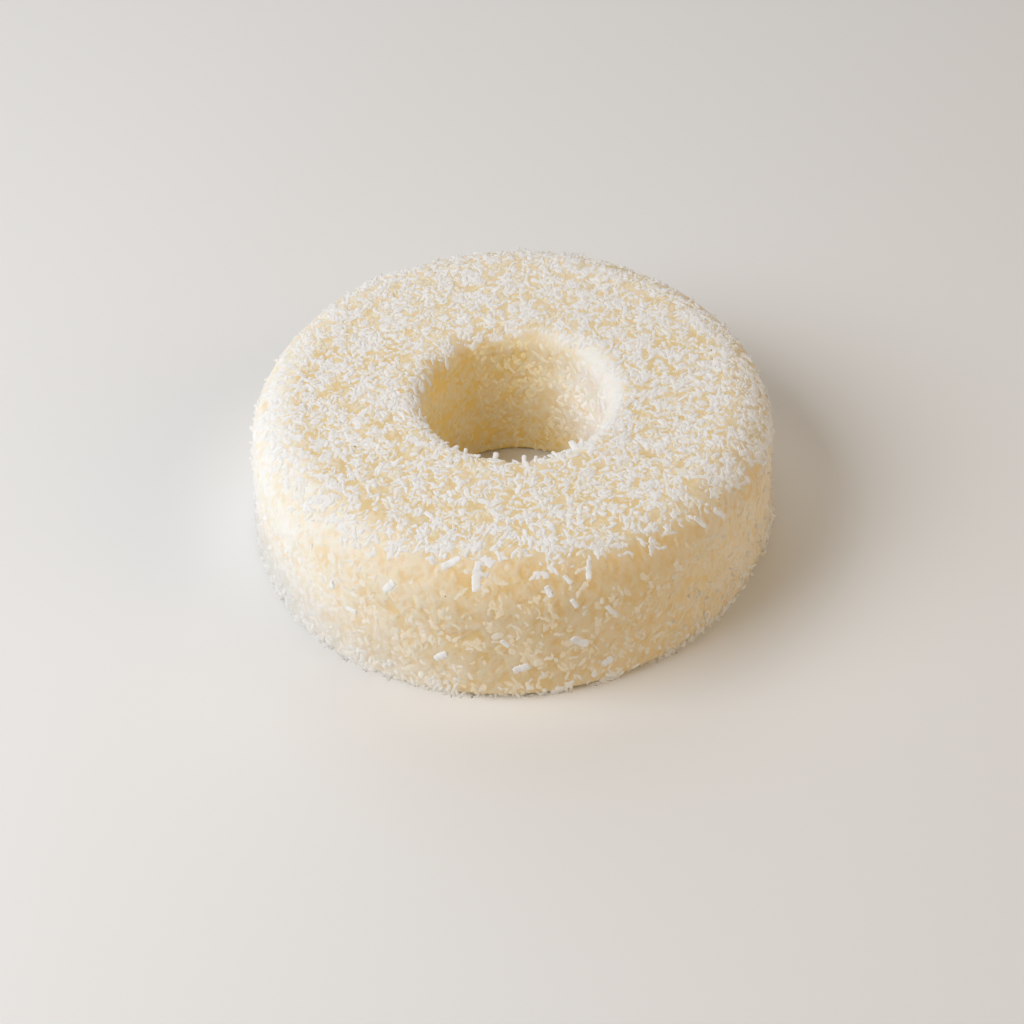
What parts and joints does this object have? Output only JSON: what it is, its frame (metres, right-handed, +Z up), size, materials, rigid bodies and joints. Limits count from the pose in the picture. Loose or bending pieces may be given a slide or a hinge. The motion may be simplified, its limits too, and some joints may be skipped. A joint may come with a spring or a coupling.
{
  "type": "tapioca coconut cake",
  "caption": "Ring-shaped pudding cake of set tapioca with a soft rounded shoulder and a round centre hole, strewn all over with fine grated coconut.",
  "frame": {"origin": "the bottom centre of the cake's bounding box, on the surface that it stands on", "axes": "+Z up through the hole, -Y towards the front that the picture shows, +X to the right of that view"},
  "size_m": [0.1992, 0.2038, 0.0595],
  "materials": {
    "tapioca": "soft moist set tapioca and milk, cream coloured and slightly translucent, satin",
    "coconut": "fine white grated coconut, matte and slightly translucent"
  },
  "bodies": {
    "root": {"cake_ring": "tapioca"}
  },
  "joints": []
}
